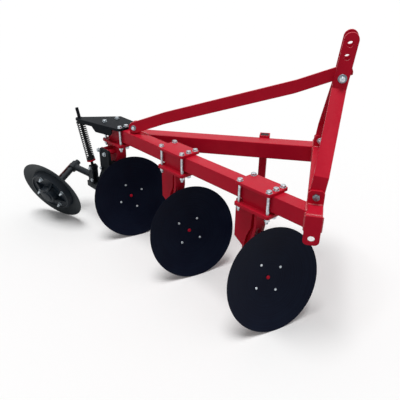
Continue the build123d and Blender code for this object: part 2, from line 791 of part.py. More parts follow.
def pieces():
    made = {
        "cross_tube": cross_tube(),
        "main_beam": main_beam(),
        "brace_beam": brace_beam(),
        "hitch_lug_right": hitch_lug(-1),
        "hitch_lug_left": hitch_lug(1),
        "mast_foot_right": foot_plates(-1),
        "mast_foot_left": foot_plates(1),
        "mast_leg_right": mast_leg(-1),
        "mast_leg_left": mast_leg(1),
        "mast_stay": mast_stay(),
        "stay_lug": stay_lug(),
        "clamp_plate_front": top_plate(0),
        "clamp_plate_middle": top_plate(1),
        "spring_arm": spring_arm(),
        "stand_socket": socket(),
        "stand_screw": stand_screw(),
        "stand_leg": stand_leg(),
        "spring_rod": spring_rod(),
        "spring": spring(),
        "spring_seat": spring_seat_ring(),
        "tail_plate": tail_plate(),
        "tail_spacers": spacers(),
        "tail_pivot": pivot_pin(),
        "swing_arm": swing_arm(),
        "cross_bar": cross_bar(),
        "wheel_axle": axle(),
        "furrow_wheel": wheel(),
    }
    for index, name in enumerate(clamp_names):
        made["clamp_bolts_" + name] = clamp_bolts(index)
        made["standard_" + name] = standard(index)
        made["disc_" + name] = disc(index)
        made["hub_" + name] = hub(index)
    return made


os.makedirs("parts", exist_ok=True)
for node, shape in pieces().items():
    solids = []
    for piece in (shape if isinstance(shape, list) else [shape]):
        solids += piece.solids()
    export_step(Compound(children=solids) if len(solids) > 1 else solids[0], "parts/" + node + ".step")
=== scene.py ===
import json
from math import cos, pi, radians, sin

import bmesh
import bpy
import numpy as np
from mathutils import Matrix, Vector

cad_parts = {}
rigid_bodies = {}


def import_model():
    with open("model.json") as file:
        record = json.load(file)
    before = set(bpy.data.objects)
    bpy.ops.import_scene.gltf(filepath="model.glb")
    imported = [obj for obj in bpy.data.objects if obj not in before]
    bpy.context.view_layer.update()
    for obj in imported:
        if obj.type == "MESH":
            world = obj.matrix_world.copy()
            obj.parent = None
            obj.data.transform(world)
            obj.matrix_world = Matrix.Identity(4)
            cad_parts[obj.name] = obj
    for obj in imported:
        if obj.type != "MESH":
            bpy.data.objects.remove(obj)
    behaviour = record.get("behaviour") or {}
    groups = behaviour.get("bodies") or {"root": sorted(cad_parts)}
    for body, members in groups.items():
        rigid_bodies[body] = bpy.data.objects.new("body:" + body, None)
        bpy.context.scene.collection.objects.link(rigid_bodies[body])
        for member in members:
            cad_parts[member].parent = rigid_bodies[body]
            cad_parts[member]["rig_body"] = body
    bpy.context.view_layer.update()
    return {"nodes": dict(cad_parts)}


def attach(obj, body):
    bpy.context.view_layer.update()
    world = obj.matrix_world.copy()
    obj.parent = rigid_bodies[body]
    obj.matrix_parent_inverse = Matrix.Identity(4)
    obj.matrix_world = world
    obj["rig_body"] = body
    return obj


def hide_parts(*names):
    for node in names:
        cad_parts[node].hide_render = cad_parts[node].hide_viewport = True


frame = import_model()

mm = 0.001
print("frame loaded")

# Sizes of the plough in millimetres and degrees, the same as in the part
plough = {
    "frameTop": 104.0, "tubeHeight": 76.0, "crossWidth": 66.0, "mainWidth": 70.0, "braceSize": 88.0,
    "mainAngle": 34.2, "mainInset": 39.0, "braceAngle": 1.9, "braceInset": 54.0,
    "hitchHalf": 460.0, "lugThick": 12.0, "lugGap": 58.0, "footFace": 357.0, "footThick": 12.0,
    "mastLean": 6.0, "mastBolt": 544.0, "footBolt": 30.0, "barThick": 14.0, "topGap": 80.0,
    "firstClamp": 266.0, "discPitch": 572.0, "ground": -583.0,
    "stayAhead": 188.0, "staySide": 12.0, "stayHeight": 36.0, "stayThick": 12.0, "stayLugGap": 26.0,
    "standAt": 262.0, "socketSide": 56.0,
}
clampNames = ("front", "middle", "rear")
frameTop, halfCross = plough["frameTop"], plough["crossWidth"] / 2
frameBottom = frameTop - plough["tubeHeight"]
turn = radians(plough["mainAngle"])
backWay = np.array([-cos(turn), sin(turn), 0.0])      # along the main beam
rightWay = np.array([-sin(turn), -cos(turn), 0.0])    # across it, to the right
upWay = np.array([0.0, 0.0, 1.0])
mainStart = np.array([-halfCross, -plough["hitchHalf"] + plough["mainInset"], 0.0])
mainStart = mainStart - rightWay * plough["mainWidth"] / 2


# Axes are four arrays: an origin in millimetres and the x, y and z ways
def axesFrom(origin, xWay, zWay):
    zWay = np.array(zWay, float) / np.linalg.norm(zWay)
    xWay = np.array(xWay, float)
    xWay = xWay - zWay * (xWay @ zWay)
    xWay = xWay / np.linalg.norm(xWay)
    return np.array(origin, float), xWay, np.cross(zWay, xWay), zWay


def axesAlong(start, end):
    run = np.array(end, float) - np.array(start, float)
    side = upWay if abs(run[2]) < 0.9 * np.linalg.norm(run) else np.array([1.0, 0.0, 0.0])
    return axesFrom(start, np.cross(side, run), run)


def shifted(axes, x=0.0, y=0.0, z=0.0):
    origin, xWay, yWay, zWay = axes
    return origin + xWay * x + yWay * y + zWay * z, xWay, yWay, zWay


def beamSpot(index, ahead=0.0):
    # on the main beam's axis, ahead of a clamp's middle
    return mainStart + backWay * (plough["firstClamp"] + plough["discPitch"] * index - ahead)


def clampAxes(index):
    return axesFrom(beamSpot(index), backWay, upWay)


# Surfaces: every one is a grid of points in metres with a grid of UVs beside it
def placed(points, axes):
    # local point (x, y, z) goes to origin + x * xWay + y * yWay + z * zWay
    origin, xWay, yWay, zWay = axes
    return (origin + points[..., :1] * xWay + points[..., 1:2] * yWay + points[..., 2:3] * zWay) * mm


def gridUv(points, across):
    # u is the share of the way round, v the distance along the profile in metres
    steps = np.linalg.norm(np.diff(points, axis=0), axis=-1).mean(axis=1)
    along = np.concatenate([[0.0], np.cumsum(steps)])
    return np.stack(np.broadcast_arrays(across[None, :], along[:, None]), axis=-1)


def rounded(line, radius, steps=4):
    # each corner becomes the curve (1-t)^2 a + 2t(1-t) b + t^2 c between points set back along its two runs
    line = np.array(line, float)
    share = np.linspace(0, 1, steps + 1)[:, None]
    out = [line[:1]]
    for before, corner, after in zip(line[:-2], line[1:-1], line[2:]):
        inRun, outRun = before - corner, after - corner
        inSize, outSize = np.linalg.norm(inRun), np.linalg.norm(outRun)
        back = min(radius, inSize * 0.45, outSize * 0.45)
        a, c = corner + inRun / inSize * back, corner + outRun / outSize * back
        out.append((1 - share) ** 2 * a + 2 * share * (1 - share) * corner + share ** 2 * c)
    out.append(line[-1:])
    return np.concatenate(out)


def wound(radius, angle, height, axes, across):
    # x = radius cos angle, y = radius sin angle, z = height; across is the way round that the UVs follow
    points = np.stack(np.broadcast_arrays(radius * np.cos(angle), radius * np.sin(angle), height), axis=-1)
    points = placed(points, axes)
    return points, gridUv(points, across / (2 * pi))


def turned(profile, axes, columns):
    # a profile of (radius, height) carried round z
    profile = np.array(profile, float)
    angle = np.linspace(0, 2 * pi, columns + 1)
    return wound(profile[:, :1], angle, profile[:, 1:], axes, angle)


def hexagon(flatSize, low, high, axes):
    # a hexagon's radius flat / (2 cos b), b the angle from the nearest flat's middle, held inside a cone
    # at both ends; the caps are shares of half the flat size, and past lies outside every corner
    chamfer, faceCap, middleCap, past = 0.12, 0.95, 1.04, 1.2
    angle = np.linspace(0, 2 * pi, 49)
    within = (angle + pi / 6) % (pi / 3) - pi / 6
    drop = chamfer * flatSize / 2
    rows = np.array([
        (0, low), (faceCap, low), (middleCap, low + drop * 0.45), (past, low + drop), (past, high - drop),
        (middleCap, high - drop * 0.45), (faceCap, high), (0, high)])
    radius = np.minimum(flatSize / 2 / np.cos(within), rows[:, :1] * flatSize / 2)
    return wound(radius, angle, rows[:, 1:], axes, angle)


def threaded(radius, low, high, axes, pitch=2.0, depth=0.9, columns=20):
    # radius less depth times a triangle wave of (height / pitch - angle / turn), closed at both ends
    angle = np.linspace(0, 2 * pi, columns + 1)
    count = max(int((high - low) / pitch * 4), 8)
    heights = np.concatenate([[low, low], np.linspace(low + 0.3, high - 0.8, count), [high, high]])[:, None]
    wave = np.abs(((heights / pitch - angle / (2 * pi)) % 1.0) * 2 - 1)
    body = radius - depth * wave
    body[1], body[-2] = radius - depth, radius - depth - 0.3
    body[0] = body[-1] = 0.0
    return wound(body, angle, heights, axes, angle)


def slab(outline, low, high, axes, edge):
    # an outline carried from its middle out to the edge, up the wall and back, its rims rounded by edge
    outline = np.array(outline, float)
    outline = np.concatenate([outline, outline[:1]])
    middle = outline[:-1].mean(axis=0)
    reach = np.linalg.norm(outline - middle, axis=1, keepdims=True)
    way = (outline - middle) / reach
    rows = [(None, low), (edge, low), (edge * 0.3, low + edge * 0.3), (0, low + edge),
            (0, high - edge), (edge * 0.3, high - edge * 0.3), (edge, high), (None, high)]
    flatPoints = np.stack([middle + way * (0 * reach if inset is None else reach - inset)
                           for inset, z in rows])
    heights = np.array([z for inset, z in rows])[:, None, None] + 0 * flatPoints[..., :1]
    points = placed(np.concatenate([flatPoints, heights], axis=-1), axes)
    return points, gridUv(points, np.linspace(0, 1, len(outline)))


beadShape = {"wave": 0.13, "bow": 0.35, "perRipple": 4}


def weldBead(start, end, size, ripple=6.0):
    # a tube of radius size (1 + wave sin(2 pi s / ripple)) along s, each ring bowed by bow size cos a,
    # pinched at both ends
    start, end = np.array(start, float), np.array(end, float)
    length = np.linalg.norm(end - start)
    along = np.linspace(0, length, max(int(length / ripple * beadShape["perRipple"]), 12))[:, None]
    angle = np.linspace(0, 2 * pi, 10)
    pinch = np.sqrt(np.clip(np.minimum(along, length - along) / size, 0, 1))
    radius = size * (1 + beadShape["wave"] * np.sin(2 * pi * along / ripple)) * pinch
    bow = beadShape["bow"] * size * np.cos(angle) * pinch
    return wound(radius, angle, along + bow, axesAlong(start, end), angle)


def weldRing(axes, radius, size, ripple=6.0):
    # a torus whose tube has the radius size (1 + wave sin(n a)), n the number of ripples that fit its length
    count = int(2 * pi * radius / ripple)
    around = np.linspace(0, 2 * pi, count * beadShape["perRipple"] + 1)[:, None]
    angle = np.linspace(0, 2 * pi, 10)
    tube = size * (1 + beadShape["wave"] * np.sin(count * around))
    return wound(radius + tube * np.cos(angle), around, tube * np.sin(angle), axes, angle)


def washerLine(inner, outer, thick, edge):
    # a washer's section out along one face and back along the other, its rim's corners cut by edge
    return [(inner, 0), (outer - edge, 0), (outer, edge), (outer, thick - edge), (outer - edge, thick),
            (inner, thick)]


def boltHead(axes, flatSize, high, washer=0.0, thick=3.0, tail=0.0, tailRadius=7.0):
    # a washer and a hexagon standing on the face that the axes' z leaves, with a threaded end where there
    # is a tail
    surfaces, seat = [], 0.0
    if washer > 0:
        surfaces.append(turned(washerLine(0, washer, thick, 0.8), axes, 36))
        seat = thick
    surfaces.append(hexagon(flatSize, seat, seat + high, axes))
    if tail > 0:
        surfaces.append(threaded(tailRadius, seat + high - 2.0, seat + high + tail, axes))
    return surfaces


def crossing(first, firstWay, second, secondWay):
    # where two level lines meet: first + a * firstWay = second + b * secondWay
    ways = np.stack([firstWay[:2], -secondWay[:2]], axis=1)
    share = np.linalg.solve(ways, (second - first)[:2])
    return first + firstWay * share[0]


def sweptRound(path, radius, sides=14):
    # a circle of the radius carried along a line of points, square to it, closed to a point at both ends
    skew = np.array([0.13, 0.31, 0.94])    # a way that no stretch of the line follows
    run = np.gradient(path, axis=0)
    run = run / np.linalg.norm(run, axis=1, keepdims=True)
    side = np.cross(run, skew)
    side = side / np.linalg.norm(side, axis=1, keepdims=True)
    other = np.cross(run, side)
    angle = np.linspace(0, 2 * pi, sides + 1)
    circle = np.cos(angle)[:, None] * side[:, None] + np.sin(angle)[:, None] * other[:, None]
    ends = np.repeat(path[[0, -1], None], sides + 1, axis=1)
    points = np.concatenate([ends[:1], path[:, None] + circle * radius, ends[1:]]) * mm
    return points, gridUv(points, angle / (2 * pi))


def makePiece(name, surfaces, finish, body, stands=(), sharpAngle=32):
    vertices, faces, uvs, first = [], [], [], 0
    for points, uv in surfaces:
        rows, columns = points.shape[:2]
        index = np.arange(rows * columns).reshape(rows, columns) + first
        corners = [index[:-1, :-1], index[:-1, 1:], index[1:, 1:], index[1:, :-1]]
        faces.append(np.stack(corners, axis=-1).reshape(-1, 4))
        vertices.append(points.reshape(-1, 3))
        uvs.append(uv.reshape(-1, 2))
        first += rows * columns
    mesh = bpy.data.meshes.new(name)
    mesh.from_pydata(np.concatenate(vertices).tolist(), [], np.concatenate(faces).tolist())
    loopVertices = np.empty(len(mesh.loops), np.int32)
    mesh.loops.foreach_get("vertex_index", loopVertices)
    layer = mesh.uv_layers.new(name="UVMap")
    layer.data.foreach_set("uv", np.concatenate(uvs)[loopVertices].astype(np.float32).ravel())
    shell = bmesh.new()
    shell.from_mesh(mesh)
    bmesh.ops.remove_doubles(shell, verts=shell.verts, dist=2e-6)
    bmesh.ops.dissolve_degenerate(shell, dist=1e-7, edges=shell.edges)
    bmesh.ops.recalc_face_normals(shell, faces=shell.faces)
    shell.to_mesh(mesh)
    shell.free()
    return finishPiece(mesh, name, finish, body, stands, sharpAngle)


def finishPiece(mesh, name, finish, body, stands, sharpAngle):
    mesh.polygons.foreach_set("use_smooth", np.ones(len(mesh.polygons), bool))
    mesh.set_sharp_from_angle(angle=radians(sharpAngle))
    mesh.materials.clear()
    mesh.materials.append(finishes[finish])
    piece = bpy.data.objects.new(name, mesh)
    bpy.context.scene.collection.objects.link(piece)
    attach(piece, body)
    if stands:
        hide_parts(*stands)
    return piece


# Materials
def addNode(tree, kind, inputs=None, **settings):
    made = tree.nodes.new("ShaderNode" + kind)
    for key, value in settings.items():
        setattr(made, key, value)
    for key, value in (inputs or {}).items():
        if isinstance(value, bpy.types.NodeSocket):
            tree.links.new(value, made.inputs[key])
        else:
            made.inputs[key].default_value = value
    return made


skinOutputs = {"Color": "NodeSocketColor", "Roughness": "NodeSocketFloat", "Height": "NodeSocketFloat"}


def newSkin(name, inputs):
    # a shader group with the given inputs, which puts out a colour, a roughness and a height
    tree = bpy.data.node_groups.new(name, "ShaderNodeTree")
    for socketName, value in inputs.items():
        kind = "NodeSocketFloat" if isinstance(value, float) else "NodeSocketColor"
        socket = tree.interface.new_socket(name=socketName, in_out="INPUT", socket_type=kind)
        socket.default_value = value
    for socketName, kind in skinOutputs.items():
        tree.interface.new_socket(name=socketName, in_out="OUTPUT", socket_type=kind)
    return tree, tree.nodes.new("NodeGroupInput").outputs


def closeSkin(tree, *results):
    out = tree.nodes.new("NodeGroupOutput")
    for socketName, value in zip(skinOutputs, results):
        tree.links.new(value, out.inputs[socketName])
    return tree


def mathNode(tree, operation, first, second, clamped=False):
    made = addNode(tree, "Math", {0: first, 1: second}, operation=operation, use_clamp=clamped)
    return made.outputs[0]


def plus(tree, base, value, share, clamped=False):
    # base + value * share
    return mathNode(tree, "ADD", base, mathNode(tree, "MULTIPLY", value, share), clamped)


def mixColor(tree, factor, first, second):
    return addNode(tree, "Mix", {0: factor, 6: first, 7: second}, data_type="RGBA").outputs[2]


def ramp(tree, value, limits):
    # 0 below the first limit, 1 above the second
    ends = {0: value, 1: limits[0], 2: limits[1], 3: 0.0, 4: 1.0}
    return addNode(tree, "MapRange", ends, clamp=True).outputs[0]


def noise(tree, place, size):
    # size is a scale and a detail
    made = addNode(tree, "TexNoise", {"Vector": place, "Scale": size[0], "Detail": size[1]})
    return made.outputs["Fac"]


paintGrain = {"flow": (5.0, 3.0), "blotch": (34.0, 5.0), "speck": (260.0, 4.0), "peel": (620.0, 1.0),
              "flowShare": 0.7, "tone": (0.36, 0.64), "dustAndSheenColor": (0.62, 0.50, 0.47, 1), "facing": (0.1, 1.0),
              "dustAndSheenSpeck": (0.42, 0.72), "edgeRadius": 0.0022, "edge": (0.02, 0.2), "chips": (0.52, 0.66),
              "blotchRough": 0.12, "dustAndSheenRough": 0.5, "chipRough": 0.25, "speckHigh": 0.25}


def buildPaintSkin():
    tree, given = newSkin("paintSkin", {
        "Paint": (0.5, 0.5, 0.5, 1), "Deep": (0.3, 0.3, 0.3, 1), "Under": (0.2, 0.2, 0.2, 1),
        "Gloss": 0.3, "DustAndSheen": 0.2, "Rub": 0.3, "Peel": 0.5})
    grain = paintGrain
    place = addNode(tree, "TexCoord").outputs["Object"]
    flow, blotch = noise(tree, place, grain["flow"]), noise(tree, place, grain["blotch"])
    speck, peel = noise(tree, place, grain["speck"]), noise(tree, place, grain["peel"])
    tone = mathNode(tree, "MULTIPLY", flow, grain["flowShare"])
    tone = ramp(tree, plus(tree, tone, blotch, 1 - grain["flowShare"]), grain["tone"])
    color = mixColor(tree, tone, given["Deep"], given["Paint"])
    # pale patches lie on what faces up: dust, and where the share is large, as on the welds, a painted
    # highlight
    trueNormal = addNode(tree, "NewGeometry").outputs["Normal"]
    facing = addNode(tree, "SeparateXYZ", {0: trueNormal}).outputs[2]
    facing, patches = ramp(tree, facing, grain["facing"]), ramp(tree, speck, grain["dustAndSheenSpeck"])
    dustAndSheenMask = mathNode(tree, "MULTIPLY", mathNode(tree, "MULTIPLY", facing, patches), given["DustAndSheen"], True)
    color = mixColor(tree, dustAndSheenMask, color, grain["dustAndSheenColor"])
    # edges are rubbed where the rounded normal leaves the true one
    rounder = addNode(tree, "Bevel", {"Radius": grain["edgeRadius"]}, samples=4).outputs[0]
    same = addNode(tree, "VectorMath", {0: rounder, 1: trueNormal}, operation="DOT_PRODUCT")
    edge = ramp(tree, mathNode(tree, "SUBTRACT", 1.0, same.outputs["Value"]), grain["edge"])
    chipped = mathNode(tree, "MULTIPLY", edge, ramp(tree, blotch, grain["chips"]))
    chipped = mathNode(tree, "MULTIPLY", chipped, given["Rub"], True)
    color = mixColor(tree, chipped, color, given["Under"])
    rough = plus(tree, given["Gloss"], blotch, grain["blotchRough"])
    rough = plus(tree, rough, dustAndSheenMask, grain["dustAndSheenRough"])
    rough = plus(tree, rough, chipped, grain["chipRough"], True)
    height = plus(tree, mathNode(tree, "MULTIPLY", peel, given["Peel"]), speck, grain["speckHigh"])
    return closeSkin(tree, color, rough, height)


platedGrain = {"cloud": (90.0, 4.0), "grain": (900.0, 2.0), "tone": (0.42, 0.62), "cloudRough": 0.2}


def buildPlatedSkin():
    tree, given = newSkin("platedSkin", {
        "Bright": (0.7, 0.7, 0.7, 1), "Tarnish": (0.4, 0.4, 0.4, 1), "Gloss": 0.3})
    place = addNode(tree, "TexCoord").outputs["Object"]
    cloud = noise(tree, place, platedGrain["cloud"])
    color = mixColor(tree, ramp(tree, cloud, platedGrain["tone"]), given["Tarnish"], given["Bright"])
    rough = plus(tree, given["Gloss"], cloud, platedGrain["cloudRough"], True)
    return closeSkin(tree, color, rough, noise(tree, place, platedGrain["grain"]))


spunGrain = {"ringDetail": 5.0, "cloud": (7.0, 4.0), "grain": (520.0, 3.0), "ringShare": 0.5,
             "tone": (0.4, 0.62), "toneRough": 0.25, "ringHigh": 0.6}


def buildSpunSkin():
    # rings round a turned piece, from the v of its own UV map, which is in metres
    tree, given = newSkin("spunSkin", {
        "Dark": (0.01, 0.01, 0.01, 1), "Light": (0.03, 0.03, 0.03, 1), "Gloss": 0.4, "RingScale": 60.0})
    place = addNode(tree, "TexCoord").outputs
    along = addNode(tree, "SeparateXYZ", {0: place["UV"]}).outputs[1]
    along = mathNode(tree, "MULTIPLY", along, given["RingScale"])
    rings = {"W": along, "Scale": 1.0, "Detail": spunGrain["ringDetail"]}
    rings = addNode(tree, "TexNoise", rings, noise_dimensions="1D").outputs["Fac"]
    cloud = noise(tree, place["Object"], spunGrain["cloud"])
    grain = noise(tree, place["Object"], spunGrain["grain"])
    tone = mathNode(tree, "MULTIPLY", rings, spunGrain["ringShare"])
    tone = plus(tree, tone, cloud, 1 - spunGrain["ringShare"])
    color = mixColor(tree, ramp(tree, tone, spunGrain["tone"]), given["Dark"], given["Light"])
    rough = plus(tree, given["Gloss"], tone, spunGrain["toneRough"], True)
    height = mathNode(tree, "MULTIPLY", rings, spunGrain["ringHigh"])
    return closeSkin(tree, color, rough, plus(tree, height, grain, 1 - spunGrain["ringHigh"]))


skins = {"paint": buildPaintSkin(), "plated": buildPlatedSkin(), "spun": buildSpunSkin()}


def makeFinish(name, skin, values, specular, metallic=0.0, bump=0.15, depth=0.0004):
    # colours are given as red, green and blue
    material = bpy.data.materials.new(name)
    material.use_nodes = True
    tree = material.node_tree
    shader = tree.nodes["Principled BSDF"]
    values = {key: value if isinstance(value, float) else (*value, 1.0) for key, value in values.items()}
    skinNode = addNode(tree, "Group", values, node_tree=skins[skin])
    height = skinNode.outputs["Height"]
    relief = addNode(tree, "Bump", {"Strength": bump, "Distance": depth, "Height": height})
    tree.links.new(skinNode.outputs["Color"], shader.inputs["Base Color"])
    tree.links.new(skinNode.outputs["Roughness"], shader.inputs["Roughness"])
    tree.links.new(relief.outputs["Normal"], shader.inputs["Normal"])
    shader.inputs["Specular IOR Level"].default_value = specular
    shader.inputs["Metallic"].default_value = metallic
    return material


# Painted finishes: the material, its values by column, and what goes to the shader and the bump
paintColumns = ("Paint", "Deep", "Under", "Gloss", "DustAndSheen", "Rub", "Peel")
paints = {
    "red": ("redPaint", (0.61, 0.008, 0.031), (0.53, 0.005, 0.026), (0.20, 0.02, 0.03),
        0.30, 0.04, 0.22, 0.6, {"specular": 0.09}),
    # the welds carry the red paint made paler and pinker, with a large share of the pale patches: a painted
    # highlight on the beads
    "weld": ("weldPaintPaintedHighlight", (0.64, 0.022, 0.045), (0.50, 0.008, 0.026), (0.20, 0.03, 0.03),
        0.16, 0.22, 0.12, 1.0, {"specular": 0.6}),
    "black": ("blackPaint", (0.012, 0.015, 0.018), (0.006, 0.008, 0.012), (0.08, 0.08, 0.08),
        0.46, 0.010, 0.5, 0.6, {"specular": 0.05}),
    "iron": ("darkIron", (0.034, 0.039, 0.043), (0.009, 0.013, 0.019), (0.14, 0.14, 0.13),
        0.42, 0.03, 0.6, 0.8, {"specular": 0.14, "bump": 0.3}),
    "wheel": ("wheelPaint", (0.045, 0.054, 0.060), (0.030, 0.038, 0.046), (0.12, 0.12, 0.12),
        0.40, 0.02, 0.5, 0.6, {"specular": 0.12}),
    # the drum and its ribs carry a darker, bluer copy of the wheel's paint, a painted shade for the drum's
    # hollow
    "drum": ("drumPaintedShade", (0.011, 0.018, 0.027), (0.004, 0.009, 0.016), (0.09, 0.09, 0.09),
        0.36, 0.02, 0.6, 0.6, {"specular": 0.16}),
    "cast": ("castHub", (0.020, 0.022, 0.026), (0.010, 0.012, 0.016), (0.08, 0.08, 0.08),
        0.5, 0.04, 0.4, 1.0, {"specular": 0.15, "bump": 0.5, "depth": 0.0008}),
    "plastic": ("blackPlastic", (0.012, 0.012, 0.013), (0.008, 0.008, 0.009), (0.03, 0.03, 0.03),
        0.48, 0.04, 0.1, 0.8, {"specular": 0.15}),
    "rust": ("primedStrip", (0.15, 0.028, 0.026), (0.08, 0.016, 0.016), (0.05, 0.03, 0.02),
        0.5, 0.05, 0.4, 0.6, {"specular": 0.2}),
}
finishes = {key: makeFinish(name, "paint", dict(zip(paintColumns, values)), **shader)
            for key, (name, *values, shader) in paints.items()}
finishes |= {
    "blade": makeFinish("bladePaint", "spun", {
        "Dark": (0.0022, 0.0036, 0.0125), "Light": (0.0050, 0.0085, 0.0210), "Gloss": 0.36,
        "RingScale": 180.0}, specular=0.07, bump=0.06),
    "zinc": makeFinish("zincPlate", "plated", {
        "Bright": (0.64, 0.69, 0.72), "Tarnish": (0.40, 0.45, 0.49), "Gloss": 0.24},
        specular=0.5, metallic=0.92),
    "washer": makeFinish("dullZinc", "plated", {
        "Bright": (0.25, 0.29, 0.32), "Tarnish": (0.15, 0.18, 0.21), "Gloss": 0.30},
        specular=0.5, metallic=0.92),
    "spring": makeFinish("springSteel", "plated", {
        "Bright": (0.012, 0.013, 0.015), "Tarnish": (0.005, 0.006, 0.008), "Gloss": 0.42}, specular=0.25),
}
print("finishes made")

# Frame, mast, clamps and carriers: the solids with rounded edges, their widths in millimetres
tubes = {"cornerRadius": 4.0, "longFrom": 150.0, "plateEdge": 1.4, "barEdge": 0.5, "screwEdge": 0.6,
         "sharpFrom": 0.5, "split": ("hitch_lug_right", "hitch_lug_left")}


def softenedCopy(node, finish, width, longWidth=0.0):
    # a merged copy of a solid whose sharp edges get a Bevel, longWidth wide on the long ones
    wide = max(width, longWidth)
    shell = bmesh.new()
    shell.from_mesh(frame["nodes"][node].data)
    bmesh.ops.remove_doubles(shell, verts=shell.verts, dist=1e-5)
    bmesh.ops.dissolve_limit(shell, angle_limit=0.01, verts=shell.verts, edges=shell.edges)
    if node in tubes["split"]:
        bmesh.ops.connect_verts_concave(shell, faces=shell.faces)  # convex faces bevel cleanly round a hole
    weights = shell.edges.layers.float.new("bevel_weight_edge")
    for edge in shell.edges:
        if len(edge.link_faces) == 2 and edge.calc_face_angle(0.0) > tubes["sharpFrom"]:
            isLong = longWidth > 0 and edge.calc_length() > tubes["longFrom"] * mm
            edge[weights] = 1.0 if isLong else width / wide
    name, body = node + "_finished", frame["nodes"][node]["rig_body"]
    mesh = bpy.data.meshes.new(name)
    shell.to_mesh(mesh)
    shell.free()
    piece = finishPiece(mesh, name, finish, body, (node,), 30)
    bevel = piece.modifiers.new("roundedEdges", "BEVEL")
    bevel.limit_method = "WEIGHT"
    bevel.width = wide * mm
    bevel.segments = 3
    bevel.use_clamp_overlap = False
    bevel.harden_normals = True


softened = [
    ("red", "plateEdge", ("hitch_lug_right", "hitch_lug_left", "mast_foot_right", "mast_foot_left",
                          "mast_leg_right", "mast_leg_left", "mast_stay", "stay_lug", "clamp_plate_front",
                          "clamp_plate_middle", "standard_front", "standard_middle", "standard_rear",
                          "stand_socket", "stand_leg", "tail_spacers", "spring_seat")),
    ("black", "plateEdge", ("spring_arm", "tail_plate", "tail_pivot")),
    ("black", "barEdge", ("spring_rod",)), ("iron", "plateEdge", ("swing_arm", "wheel_axle")),
    ("iron", "barEdge", ("cross_bar",)), ("zinc", "screwEdge", ("stand_screw",)),
]
for node in ("cross_tube", "main_beam", "brace_beam"):
    softenedCopy(node, "red", tubes["plateEdge"], tubes["cornerRadius"])
for finishName, edgeName, nodes in softened:
    for node in nodes:
        softenedCopy(node, finishName, tubes[edgeName])
print("plates and tubes finished")

# Clamp bolts: head, washers, shank, nut and threaded tail
clamp = {"boltX": 84.0, "boltY": 45.0, "plate": 14.0, "pad": 15.0, "seat": 16.0, "shank": 7.0, "flat": 22.5,
         "head": 9.0, "nut": 13.0, "tail": 13.0, "farTail": 3.0, "washer": 14.5, "washerThick": 2.6,
         "washerEdge": 0.6, "washerLap": 0.5, "shankLap": 1.0, "threadIn": 14.0, "plainLeast": 6.0}
seatLow, plateTop = frameBottom - clamp["pad"] - clamp["seat"], frameTop + clamp["plate"]


def hexBolt(axes, bottom, top, tail):
    # bottom and top are the faces that the washers lie on
    shank, thick = clamp["shank"], clamp["washerThick"]
    ring = washerLine(shank - clamp["washerLap"], clamp["washer"], thick, clamp["washerEdge"])
    ring.append(ring[0])
    threadFrom = min(bottom + clamp["threadIn"], top - clamp["plainLeast"])
    headSeat, nutSeat = top + thick, bottom - thick
    nutEnd, shankEnd = nutSeat - clamp["nut"], headSeat + clamp["shankLap"]
    return [turned([(reach, top + z) for reach, z in ring], axes, 28),
            turned([(reach, bottom - z) for reach, z in ring], axes, 28),
            hexagon(clamp["flat"], headSeat, headSeat + clamp["head"], axes),
            hexagon(clamp["flat"], nutEnd, nutSeat, axes),
            turned([(0, threadFrom), (shank, threadFrom), (shank, shankEnd), (0, shankEnd)], axes, 24),
            threaded(shank, nutEnd - tail, threadFrom, axes)]


boltSpots = [(x, y) for x in (clamp["boltX"], -clamp["boltX"]) for y in (clamp["boltY"], -clamp["boltY"])]
boltSpots.append((-clamp["boltX"], 0))
for index, name in enumerate(clampNames):
    surfaces = []
    for x, y in boltSpots:
        tailLong = clamp["tail"] if y > 0 else clamp["farTail"]
        surfaces += hexBolt(shifted(clampAxes(index), x, y), seatLow, plateTop, tailLong)
    makePiece("bolts_" + name, surfaces, "zinc", "frame", ("clamp_bolts_" + name,))
print("clamp bolts made")

# Discs: a dished blade with a ground rim, its bolts, the hub's nose and the casting behind
blade = {"radius": 255.0, "shy": 0.2, "dish": 46.0, "thick": 5.0, "angle": 42.7, "tilt": 14.5,
         "ahead": 121.0, "grindWide": 16.0, "rimThick": 1.6, "rows": 48, "backRows": 40, "columns": 144}
hub = {"bore": 14.0, "flange": 90.0, "flangeBack": 66.0, "neck": 34.0, "shaft": 26.0, "gap": 0.15,
       "flangeDeep": 12.0, "bevelDeep": 3.0, "neckDeep": 1.0, "shaftDeep": 4.0, "endDeep": 45.0,
       "corner": 2.5, "noseCorner": 2.0,
       "nose": ((0, 6.0), (6.912, 5.4), (9.6, 2.0), (9.6, -5.0), (0, -5.0))}
discBolt = {"circle": 79.5, "turns": (25.0, 47.0, 20.0), "domeCorner": 1.5,
            "dome": ((0, 3.0), (5.18, 2.4), (7.4, -0.4), (5.9, -3.0), (0, -3.0)),
            "thread": (5.0, -26.0, -2.0), "pitch": 1.5, "threadDeep": 0.6, "nut": (17.0, -24.0, -15.5)}
bowl = (blade["radius"] ** 2 + blade["dish"] ** 2) / (2 * blade["dish"])


def discAxes(index):
    slant, tilt = radians(blade["angle"]), radians(blade["tilt"])
    face = (sin(slant) * cos(tilt), -cos(slant) * cos(tilt), sin(tilt))
    middle = beamSpot(index, blade["ahead"])
    centre = (middle[0], middle[1], plough["ground"] + blade["radius"] * cos(tilt))
    return axesFrom(centre, (cos(slant), sin(slant), 0), face)


def faceHeight(radius, depth=0.0):
    # height of the dish's surface, a sphere's, at a distance from its axis; depth is the metal behind it
    return bowl - blade["dish"] - np.sqrt((bowl + depth) ** 2 - radius ** 2)


def bladeProfile():
    # hollow face from the middle to the rim, the rim's flat, the ground back and the round back
    edge = blade["radius"] - blade["shy"]
    out = np.linspace(0, edge, blade["rows"])
    back = np.linspace(edge - blade["grindWide"], 0, blade["backRows"])
    return np.concatenate([np.stack([out, faceHeight(out)], axis=1), [[edge, -blade["rimThick"]]],
                           np.stack([back, faceHeight(back, blade["thick"])], axis=1)])


